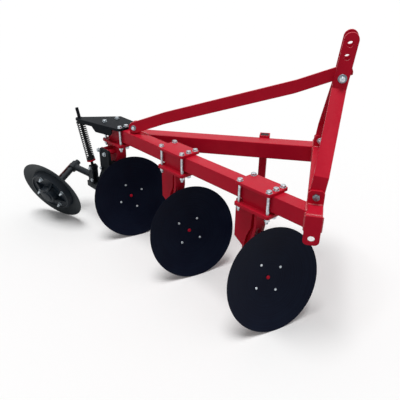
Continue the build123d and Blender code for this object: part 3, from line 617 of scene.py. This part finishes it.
def castingProfile():
    # the seat on the blade's back, then the flange, the neck and the shaft
    reach = np.linspace(hub["bore"], hub["flange"], 12)
    seat = np.stack([reach, faceHeight(reach, blade["thick"]) - hub["gap"]], axis=1)
    back = -blade["dish"] - blade["thick"] - hub["flangeDeep"]
    behind = rounded([
        (hub["flange"], seat[-1, 1]), (hub["flange"], back + hub["bevelDeep"]), (hub["flangeBack"], back),
        (hub["neck"], back - hub["neckDeep"]), (hub["shaft"], back - hub["shaftDeep"]),
        (hub["shaft"], back - hub["endDeep"]), (0, back - hub["endDeep"])], hub["corner"])
    return np.concatenate([[(0, seat[0, 1])], seat, behind[1:]])


def bowlAxes(axes, angle, away):
    # axes on the hollow face, z square to it: it leans inwards by the angle whose sine is away / bowl
    origin, xWay, yWay, zWay = axes
    outWay = xWay * cos(angle) + yWay * sin(angle)
    tip = np.arcsin(away / bowl)
    spot = origin + outWay * away + zWay * faceHeight(away)
    return axesFrom(spot, zWay + xWay * 0.3, zWay * cos(tip) - outWay * sin(tip))


for index, name in enumerate(clampNames):
    axes, body = discAxes(index), "disc_assembly_" + name
    makePiece("blade_" + name, [turned(bladeProfile(), axes, blade["columns"])], "blade", body,
              ("disc_" + name,))
    makePiece("casting_" + name, [turned(castingProfile(), axes, 72)], "cast", body,
              ("hub_" + name,))
    surfaces = []
    for angle in radians(discBolt["turns"][index]) + np.arange(4) * pi / 2:
        local = bowlAxes(axes, angle, discBolt["circle"])
        surfaces += [turned(rounded(discBolt["dome"], discBolt["domeCorner"]), local, 24),
                     threaded(*discBolt["thread"], local, discBolt["pitch"], discBolt["threadDeep"]),
                     hexagon(*discBolt["nut"], local)]
    makePiece("blade_bolts_" + name, surfaces, "zinc", body)
    noseSurface = turned(rounded(hub["nose"], hub["noseCorner"]), shifted(axes, 0, 0, -blade["dish"]), 28)
    makePiece("hub_nose_" + name, [noseSurface], "red", body)
print("discs made")

# Spring: closed end coils, open between; its seats are given in the rear clamp's axes
coil = {"wire": 3.3, "radius": 24.6, "turns": 22.0, "closed": 2.0, "perTurn": 30, "smooth": 60,
        "rodEye": (200.0, 94.0, -210.0), "armTip": (262.0, 122.0), "armThick": 14.0, "seatAbove": 54.0}
rearAxes = clampAxes(2)
eye = np.array(coil["rodEye"])
hole = np.array([*coil["armTip"], frameTop + coil["armThick"]])
rise = (hole - eye) / np.linalg.norm(hole - eye)


def rearPoint(point):
    return shifted(rearAxes, *point)[0]


def springPath(axes, length):
    # angle grows evenly; height eases from one wire per turn at each closed end to the open pitch between
    turns, closed, wire = coil["turns"], coil["closed"], 2 * coil["wire"]
    along = np.linspace(0, turns, int(turns * coil["perTurn"]))
    openPitch = (length - wire - 2 * closed * wire) / (turns - 2 * closed)
    pitch = np.where((along < closed) | (along > turns - closed), wire, openPitch)
    heights = np.concatenate([[0.0], np.cumsum((pitch[1:] + pitch[:-1]) / 2 * np.diff(along))])
    heights = coil["wire"] + heights * (length - wire) / heights[-1]
    angle = -2 * pi * along
    local = np.stack([coil["radius"] * np.cos(angle), coil["radius"] * np.sin(angle), heights], axis=-1)
    return placed(local, axes) / mm


springFoot = rearPoint(eye + rise * coil["seatAbove"])
springHead = rearPoint(eye + rise * ((frameTop - eye[2]) / rise[2]))
springLine = springPath(axesAlong(springFoot, springHead), np.linalg.norm(springHead - springFoot))
makePiece("coil_spring", [sweptRound(springLine, coil["wire"])], "spring", "frame",
          ("spring",), coil["smooth"])
print("spring made")

# Furrow wheel: a coned cutting flange, its drum, web and hub, with ribs and studs inside the drum
rim = {"radius": 232.0, "behind": 366.0, "aside": 331.8, "heading": 14.27, "lean": 21.05, "edge": 3.0,
       "shy": 0.2, "flange": 6.0, "set": 15.0, "base": 161.0, "drum": 146.0, "deep": 21.0, "wall": 8.0,
       "sunk": 9.0, "floor": 10.0, "lap": 1.0, "hub": 60.0, "hubNose": 56.0, "hubFront": 64.0,
       "hubBack": 34.0, "cap": 38.0, "capHigh": 7.0, "axle": 19.5, "inside": 48.0, "flangeCorner": 2.5,
       "drumCorner": 3.5, "columns": 160, "studCircle": 114.0, "studTurn": -13.0,
       "stud": {"flatSize": 19.0, "high": 11.0, "washer": 13.0, "thick": 2.6, "tail": 12.4,
                "tailRadius": 6.0},
       "ribThick": 7.0, "ribFrom": 53.0, "ribReach": 128.0, "ribTop": 50.0, "ribRise": 2.0, "ribEdge": 0.8}


def wheelAxes():
    heading, lean = radians(rim["heading"]), radians(rim["lean"])
    spot = rearPoint((rim["behind"], rim["aside"], 0))
    centre = (spot[0], spot[1], plough["ground"] + rim["radius"] * cos(lean))
    axleWay = (sin(heading) * cos(lean), cos(heading) * cos(lean), sin(lean))
    return axesFrom(centre, (cos(heading), -sin(heading), 0), axleWay)


def turnedFrame(axes, angle, out, height):
    # axes at a spot on a turned piece: x tangent to its circle, y outwards, z its axis
    origin, xWay, yWay, zWay = axes
    outWay = xWay * cos(angle) + yWay * sin(angle)
    return axesFrom(origin + outWay * out + zWay * height, np.cross(outWay, zWay), zWay)


wheelFrame = wheelAxes()
web, flangeTop = rim["sunk"] - rim["deep"], rim["set"] + rim["flange"]
outer, inner, lap = rim["radius"] - rim["shy"], rim["drum"] - rim["wall"], rim["lap"]
capSeat, webBack = rim["capHigh"] - rim["hubFront"], web + rim["floor"]
flangeRoot, drumTop = rim["base"] - rim["wall"] / 2, rim["base"] - lap
flangeLine = rounded([
    (flangeRoot, rim["set"] + lap), (rim["base"], rim["set"]), (outer, -rim["edge"] / 2),
    (outer, rim["edge"] / 2), (rim["base"], flangeTop), (flangeRoot, flangeTop)], rim["flangeCorner"])
flangeLine = np.concatenate([flangeLine, flangeLine[:1]])
drumLine = rounded([
    (0, -rim["hubFront"]), (rim["cap"], -rim["hubFront"]), (rim["cap"], capSeat), (rim["hubNose"], capSeat),
    (rim["hub"], web), (inner, web), (inner, -rim["deep"]), (rim["drum"], -rim["deep"]),
    (drumTop, rim["set"] - lap), (drumTop, flangeTop - lap), (rim["base"] - rim["wall"], flangeTop),
    (inner, webBack), (rim["hub"], webBack), (rim["hub"], rim["hubBack"]), (rim["axle"], rim["hubBack"]),
    (rim["axle"], -rim["inside"]), (0, -rim["inside"])], rim["drumCorner"])
makePiece("wheel_flange", [turned(flangeLine, wheelFrame, rim["columns"])], "wheel", "wheel",
          ("furrow_wheel",))
# the drum and the ribs take the darker copy of the wheel's paint, a painted shade
makePiece("wheel_drum", [turned(drumLine, wheelFrame, rim["columns"])], "drum", "wheel")
ribFoot, ribHalf = web + rim["ribRise"], rim["ribThick"] / 2
ribLine = [(rim["ribFrom"], ribFoot), (rim["ribReach"], ribFoot), (rim["ribFrom"], -rim["ribTop"])]
ribs, studs = [], []
for quarter in range(4):
    angle = radians(rim["studTurn"] + 90 * quarter)
    origin, tangent, outWay, axleWay = turnedFrame(wheelFrame, angle + pi / 4, 0.0, 0.0)
    ribs.append(slab(ribLine, -ribHalf, ribHalf, axesFrom(origin, outWay, tangent), rim["ribEdge"]))
    origin, tangent, outWay, axleWay = turnedFrame(wheelFrame, angle, rim["studCircle"], web)
    studs += boltHead(axesFrom(origin, tangent, -axleWay), **rim["stud"])
makePiece("wheel_ribs", ribs, "drum", "wheel")
makePiece("wheel_studs", studs, "zinc", "wheel")
print("wheel made")

# Bolts of the mast and the stay
mast = {"washer": 18.5, "thick": 4.0, "shift": (3.0, 4.0), "footRise": 4.5, "stayWasher": 15.5,
        "stayOut": 1.0, "stayLug": 10.0,
        "nut": {"flatSize": 22.0, "high": 12.0, "tail": 5.0, "tailRadius": 8.0},
        "head": {"flatSize": 27.0, "high": 11.0}, "stayHead": {"flatSize": 22.0, "high": 10.0},
        "footNut": {"flatSize": 24.0, "high": 13.0, "washer": 16.0, "tail": 7.0},
        "stayNut": {"flatSize": 18.0, "high": 9.0, "tail": 4.0}}
mastLean, pivotHigh = radians(plough["mastLean"]), frameTop + plough["footBolt"]
mastArm = plough["mastBolt"] - pivotHigh
mastSpot = np.array([sin(mastLean) * mastArm, 0.0, pivotHigh + cos(mastLean) * mastArm])
legFace = plough["topGap"] / 2 + plough["barThick"]


def sideAxes(spot, y, way):
    # axes on a face square to the plough's width, z pointing to the side given by way
    return axesFrom((spot[0], y, spot[2]), (1, 0, 0.2), np.array([0.0, 1.0, 0.0]) * way)


def disk(axes, radius):
    return turned(washerLine(0, radius, mast["thick"], 1.0), axes, 40)


def onWasher(axes):
    return shifted(axes, 0, 0, mast["thick"])


nutSpot = mastSpot + np.array([mast["shift"][0], 0.0, mast["shift"][1]])
nutAxes, headAxes = sideAxes(nutSpot, -legFace, -1), sideAxes(nutSpot, legFace, 1)
washers = [disk(nutAxes, mast["washer"]), disk(headAxes, mast["washer"])]
mastBolts = boltHead(onWasher(nutAxes), **mast["nut"]) + boltHead(onWasher(headAxes), **mast["head"])
footSpot = (0.0, 0.0, pivotHigh + mast["footRise"])
footInner = plough["footFace"] - 2 * plough["footThick"] - plough["barThick"]
for way in (-1, 1):
    washers += boltHead(sideAxes(footSpot, way * plough["footFace"], way), **mast["head"])
    mastBolts += boltHead(sideAxes(footSpot, way * footInner, -way), **mast["footNut"])
stayFoot = beamSpot(2, plough["stayAhead"]) + rightWay * plough["staySide"]
staySpot = (stayFoot[0], 0.0, frameTop + plough["stayHeight"])
nearFace = stayFoot[1] - plough["stayThick"] / 2
farFace = stayFoot[1] + plough["stayThick"] / 2 + plough["stayLugGap"] + mast["stayLug"]
stayNear, stayFar = sideAxes(staySpot, nearFace - mast["stayOut"], -1), sideAxes(staySpot, farFace, 1)
washers += [disk(stayNear, mast["stayWasher"]), disk(stayFar, mast["stayWasher"])]
mastBolts += boltHead(onWasher(stayNear), **mast["stayNut"])
mastBolts += boltHead(onWasher(stayFar), **mast["stayHead"])
makePiece("mast_bolts", mastBolts, "zinc", "frame")
makePiece("mast_washers", washers, "washer", "frame")

# Bolts of the tail plate and the clevis: x, distance to the side and height in the rear clamp's axes,
# the side that the head stands on and its sizes
tailFit = {"pivot": (66.0, 110.0, -168.0, 1), "pivotHead": (18.0, 0.0, 7.0), "bolts": (
               (90.0, 100.0, -54.0, 1, "plate"), (24.0, 100.0, -66.0, 1, "plate"),
               (184.0, 115.5, -290.0, 1, "cheek"), (200.0, 115.5, -210.0, 1, "eyeNut"),
               (200.0, 72.5, -210.0, -1, "eyeHead")),
           "plate": {"flatSize": 22.0, "high": 9.0, "washer": 14.0, "thick": 2.6},
           "cheek": {"flatSize": 22.0, "high": 9.0},
           "eyeNut": {"flatSize": 20.0, "high": 8.0, "washer": 12.0, "thick": 2.4, "tail": 4.0,
                      "tailRadius": 6.0},
           "eyeHead": {"flatSize": 20.0, "high": 8.0, "washer": 12.0, "thick": 2.4}}


def tailAxes(x, y, z, way):
    return axesFrom(rearPoint((x, y, z)), backWay + upWay * 0.15, rightWay * way)


tailBolts = []
for x, y, z, way, sizes in tailFit["bolts"]:
    tailBolts += boltHead(tailAxes(x, y, z, way), **tailFit[sizes])
tailBolts.append(hexagon(*tailFit["pivotHead"], tailAxes(*tailFit["pivot"])))
makePiece("tail_bolts", tailBolts, "zinc", "frame")
print("frame bolts made")

# Plug in the parking stand's top, thread on the spring rod, ridges on the cross bar, strip beside the axle
plug = {"wide": 41.2, "corner": 5.0, "low": 104.0, "high": 112.5, "edge": 1.5}
rod = {"from": 6.0, "out": 66.0, "short": 1.0, "thread": 10.6, "pitch": 3.0, "depth": 1.0}
bar = {"foot": (238.0, 94.0, -274.0), "eyeReach": 250.0, "eyeRadius": 30.0, "ridge": 22.0, "pitch": 11.0,
       "depth": 2.2, "from": 10.0, "short": 4.0}
strip = {"out": 34.0, "from": 60.0, "to": 268.0, "thick": 7.0, "wide": 22.0, "edge": 1.2}
clip = {"at": (150.0, 216.0), "half": 7.0, "wide": 9.0, "lap": 0.5, "axleRadius": 16.0, "edge": 0.8,
        "bolt": {"flatSize": 15.0, "high": 6.5}}
braceTurn = radians(plough["braceAngle"])
braceWay = np.array([-cos(braceTurn), -sin(braceTurn), 0.0])
braceLeft = np.array([-sin(braceTurn), cos(braceTurn), 0.0])
braceY = plough["hitchHalf"] - plough["braceInset"] - plough["braceSize"]
braceCorner = np.array([-halfCross, braceY, 0.0])
standSide = plough["braceSize"] + plough["socketSide"] / 2
standAxes = axesFrom(braceCorner + braceWay * plough["standAt"] + braceLeft * standSide, braceWay, upWay)


def squareLine(half, corner, steps=4):
    # a square with quarter circles at its corners, each centre (half - corner) root 2 from its middle
    quarters = []
    for start in np.arange(4) * pi / 2:
        swing = start + np.linspace(0, pi / 2, steps + 1)
        centre = (half - corner) * np.sqrt(2) * np.array([cos(start + pi / 4), sin(start + pi / 4)])
        quarters.append(centre + corner * np.stack([np.cos(swing), np.sin(swing)], axis=1))
    return np.concatenate(quarters)


def boxLine(left, right, half):
    return [(left, -half), (right, -half), (right, half), (left, half)]


plugLine = squareLine(plug["wide"] / 2, plug["corner"])
makePiece("stand_plug", [slab(plugLine, plug["low"], plug["high"], standAxes, plug["edge"])],
          "plastic", "parking_stand")
threadAxes = axesAlong(rearPoint(hole + rise * rod["from"]), rearPoint(hole + rise * rod["out"]))
threadLong = rod["out"] - rod["from"] - rod["short"]
makePiece("rod_thread", [threaded(rod["thread"], 0.0, threadLong, threadAxes, rod["pitch"],
                                  rod["depth"], 28)], "black", "frame")
eyeSpot, barFoot = shifted(wheelFrame, 0, 0, bar["eyeReach"])[0], rearPoint(bar["foot"])
barAxes, barLong = axesAlong(barFoot, eyeSpot), np.linalg.norm(eyeSpot - barFoot) - bar["eyeRadius"]
makePiece("bar_ridges", [threaded(bar["ridge"], bar["from"], barLong - bar["short"], barAxes,
                                  bar["pitch"], bar["depth"], 40)],
          "iron", "frame")
stripAxes = shifted(wheelFrame, -strip["out"], 0, 0)
halfThick = strip["thick"] / 2
stripLine = boxLine(-halfThick, halfThick, strip["wide"] / 2)
makePiece("scraper_strip", [slab(stripLine, strip["from"], strip["to"], stripAxes, strip["edge"])], "rust",
          "frame")
clipLine = boxLine(halfThick - clip["lap"], strip["out"] - clip["axleRadius"], clip["wide"])
clipParts, clipBolts = [], []
for at in clip["at"]:
    clipParts.append(slab(clipLine, at - clip["half"], at + clip["half"], stripAxes, clip["edge"]))
    origin, xWay, yWay, zWay = shifted(stripAxes, -halfThick, 0, at)
    clipBolts += boltHead(axesFrom(origin, zWay, -xWay), **clip["bolt"])
makePiece("scraper_clips", clipParts, "iron", "frame")
makePiece("scraper_bolts", clipBolts, "zinc", "frame")
print("small fittings made")

# Weld beads, painted over: sizes and offsets, then each carrier's plates in its own clamp's axes
weld = {"frame": 6.0, "plate": 5.0, "end": 7.0, "endRipple": 8.0, "inset": 3.0, "smooth": 60,
        "endInset": 1.0, "endDrop": 2.0, "footInset": 2.0, "meetRise": 4.0, "standDrop": 6.0,
        "stay": (16.0, 32.0, 42.0), "stayBack": 28.0, "stayAhead": 17.0}
carrier = {"web": 8.0, "front": -20.0, "flange": 16.0, "bend": -92.0, "edge": 100.0, "flangeNear": 33.0,
           "flangeFar": -28.0, "flangeHalf": 28.0, "drop": 2.0, "spacers": (76.0, 14.0),
           "spacerFaces": (8.0, 82.0), "spacerHigh": -56.0, "spacerRing": (16.5, 3.5)}
clevis = {"footRing": (21.0, 4.5), "eyeRing": (20.5, 5.5), "off": 1.0, "cheeks": (72.5, 83.5, 104.5, 115.5),
          "from": 180.0, "to": 236.0, "high": -319.0, "size": 3.5}


def levelBead(first, last, height, size, ripple=6.0):
    return weldBead((first[0], first[1], height), (last[0], last[1], height), size, ripple)


def uprightBead(spot, size, rise=0.0):
    # up a tube's wall, ending short of its rounded top
    x, y = spot[:2]
    return weldBead((x, y, frameBottom + rise), (x, y, frameTop - weld["inset"]), size)


def crossBead(y, height, size, inset, ripple=6.0):
    # along the cross tube's end or under it
    return levelBead((inset - halfCross, y), (halfCross - inset, y), height, size, ripple)


beads = []
mainNear = -plough["hitchHalf"] + plough["mainInset"]
mainEnds = (mainNear, mainNear + plough["mainWidth"] / cos(turn))
braceEnds = (braceCorner[1], braceCorner[1] + plough["braceSize"] / cos(braceTurn))
for ends in (mainEnds, braceEnds):
    first, last = [(-halfCross, y) for y in ends]
    beads += [levelBead(first, last, frameTop, weld["frame"]), uprightBead(first, weld["frame"]),
              uprightBead(last, weld["frame"]), levelBead(first, last, frameBottom, weld["frame"])]
beamLeft = mainStart - rightWay * plough["mainWidth"] / 2
meets = [crossing(beamLeft, backWay, braceCorner + braceLeft * away, braceWay)
         for away in (0.0, plough["braceSize"])]
beads += [uprightBead(meet, weld["frame"], weld["meetRise"]) for meet in meets]
beads += [levelBead(*meets, height, weld["frame"]) for height in (frameTop, frameBottom)]
for way in (-1, 1):
    lugFace = way * (plough["hitchHalf"] - plough["lugThick"])
    innerFar = lugFace - way * plough["lugGap"]
    beads.append(crossBead(lugFace, frameTop - weld["endDrop"], weld["end"], weld["endInset"],
                           weld["endRipple"]))
    beads += [uprightBead((x, lugFace), weld["plate"]) for x in (-halfCross, halfCross)]
    beads += [crossBead(y, frameBottom, weld["plate"], weld["footInset"])
              for y in (innerFar, innerFar - way * plough["lugThick"], lugFace)]
    beads += [crossBead(way * y, frameTop, weld["plate"], weld["endInset"])
              for y in (plough["footFace"], footInner)]
for away in weld["stay"]:
    y = stayFoot[1] + away
    beads.append(levelBead((stayFoot[0] - weld["stayBack"], y), (stayFoot[0] + weld["stayAhead"], y),
                           frameTop, weld["plate"]))
for way in (-1, 1):
    corner = shifted(standAxes, way * plough["socketSide"] / 2, plough["socketSide"] / 2)[0]
    beads.append(uprightBead(corner, weld["plate"], -weld["standDrop"]))
makePiece("weld_frame", beads, "weld", "frame", sharpAngle=weld["smooth"])

beads = []
front, back, edge = carrier["front"], carrier["front"] + carrier["flange"], carrier["edge"]
lines = [((front, carrier["flangeFar"], seatLow), (front, carrier["flangeNear"], seatLow))]
for way in (-1, 1):
    side = way * carrier["web"]
    lines += [((back, side, seatLow), (edge, side, seatLow)),
              ((back, side, seatLow - carrier["drop"]), (back, side, carrier["bend"])),
              ((back, side, seatLow), (back, way * carrier["flangeHalf"], seatLow))]
for index in range(3):
    for ends in lines:
        beads.append(weldBead(*(shifted(clampAxes(index), *end)[0] for end in ends), weld["plate"]))
for x in carrier["spacers"]:
    for y in carrier["spacerFaces"]:
        beads.append(weldRing(tailAxes(x, y, carrier["spacerHigh"], 1), *carrier["spacerRing"]))
makePiece("weld_standards", beads, "weld", "frame", sharpAngle=weld["smooth"])

beads = [weldRing(shifted(barAxes, 0, 0, clevis["off"]), *clevis["footRing"]),
         weldRing(shifted(barAxes, 0, 0, barLong + clevis["off"]), *clevis["eyeRing"])]
for y in clevis["cheeks"]:
    ends = [rearPoint((x, y, clevis["high"])) for x in (clevis["from"], clevis["to"])]
    beads.append(weldBead(*ends, clevis["size"]))
makePiece("weld_carrier", beads, "iron", "frame", sharpAngle=weld["smooth"])
print("welds made")

# Floor, light and camera
stage = {"floorHalf": 40.0, "floorBright": 1.0, "floorBounce": 0.30, "floorRough": 0.9, "worldLight": 0.38,
         "sun": 1.98, "sunSoft": 30.0, "sunWay": (0.10, 0.12, -1.0)}


def grey(value):
    return (value, value, value, 1)


floorMesh = bpy.data.meshes.new("floor")
half, floorHigh = stage["floorHalf"], plough["ground"] * mm
corners = [(x, y, floorHigh) for x, y in ((-half, -half), (half, -half), (half, half), (-half, half))]
floorMesh.from_pydata(corners, [], [(0, 1, 2, 3)])
floor = bpy.data.objects.new("floor", floorMesh)
bpy.context.scene.collection.objects.link(floor)
floorPaint = bpy.data.materials.new("paleFloor")
floorPaint.use_nodes = True
floorTree = floorPaint.node_tree
floorShader = floorTree.nodes["Principled BSDF"]
floorShader.inputs["Roughness"].default_value = stage["floorRough"]
floorShader.inputs["Specular IOR Level"].default_value = 0.0
floorRay = addNode(floorTree, "LightPath").outputs["Is Diffuse Ray"]
floorColor = mixColor(floorTree, floorRay, grey(stage["floorBright"]), grey(stage["floorBounce"]))
floorTree.links.new(floorColor, floorShader.inputs["Base Color"])
floorMesh.materials.append(floorPaint)

world = bpy.data.worlds.new("studio")
bpy.context.scene.world = world
world.use_nodes = True
worldTree = world.node_tree
rays = addNode(worldTree, "LightPath").outputs
seen = mathNode(worldTree, "MAXIMUM", rays["Is Glossy Ray"], rays["Is Transmission Ray"])
seen = mathNode(worldTree, "MAXIMUM", rays["Is Camera Ray"], seen)
shade = mixColor(worldTree, seen, grey(stage["worldLight"]), grey(1.0))
worldTree.links.new(shade, worldTree.nodes["Background"].inputs["Color"])

sunLight = bpy.data.lights.new("softSun", "SUN")
sunLight.energy = stage["sun"]
sunLight.angle = radians(stage["sunSoft"])
sun = bpy.data.objects.new("softSun", sunLight)
sun.rotation_mode = "QUATERNION"
sun.rotation_quaternion = Vector(stage["sunWay"]).to_track_quat("-Z", "Y")
bpy.context.scene.collection.objects.link(sun)

lens = {"place": (-0.0518, -2.1311, 1.0007), "yaw": 17.63, "pitch": 27.8, "roll": -1.22, "focal": 42.11,
        "sensor": 36.0, "shiftX": 0.0734, "shiftY": 0.01235}
yaw, pitch, roll = radians(lens["yaw"]), radians(lens["pitch"]), radians(lens["roll"])
ahead = np.array([-sin(yaw) * cos(pitch), cos(yaw) * cos(pitch), -sin(pitch)])
levelWay = np.array([cos(yaw), sin(yaw), 0.0])
overhead = np.cross(levelWay, ahead)
cameraX = cos(roll) * levelWay + sin(roll) * overhead
cameraY = -sin(roll) * levelWay + cos(roll) * overhead
cameraData = bpy.data.cameras.new("camera")
cameraData.sensor_width, cameraData.lens = lens["sensor"], lens["focal"]
cameraData.shift_x, cameraData.shift_y = lens["shiftX"], lens["shiftY"]
camera = bpy.data.objects.new("camera", cameraData)
turnTo = np.eye(4)
turnTo[:3, 0], turnTo[:3, 1], turnTo[:3, 2], turnTo[:3, 3] = cameraX, cameraY, -ahead, lens["place"]
camera.matrix_world = Matrix(turnTo.tolist())
bpy.context.scene.collection.objects.link(camera)
bpy.context.scene.camera = camera
bpy.context.scene.view_settings.view_transform = "Standard"
print("stage set")
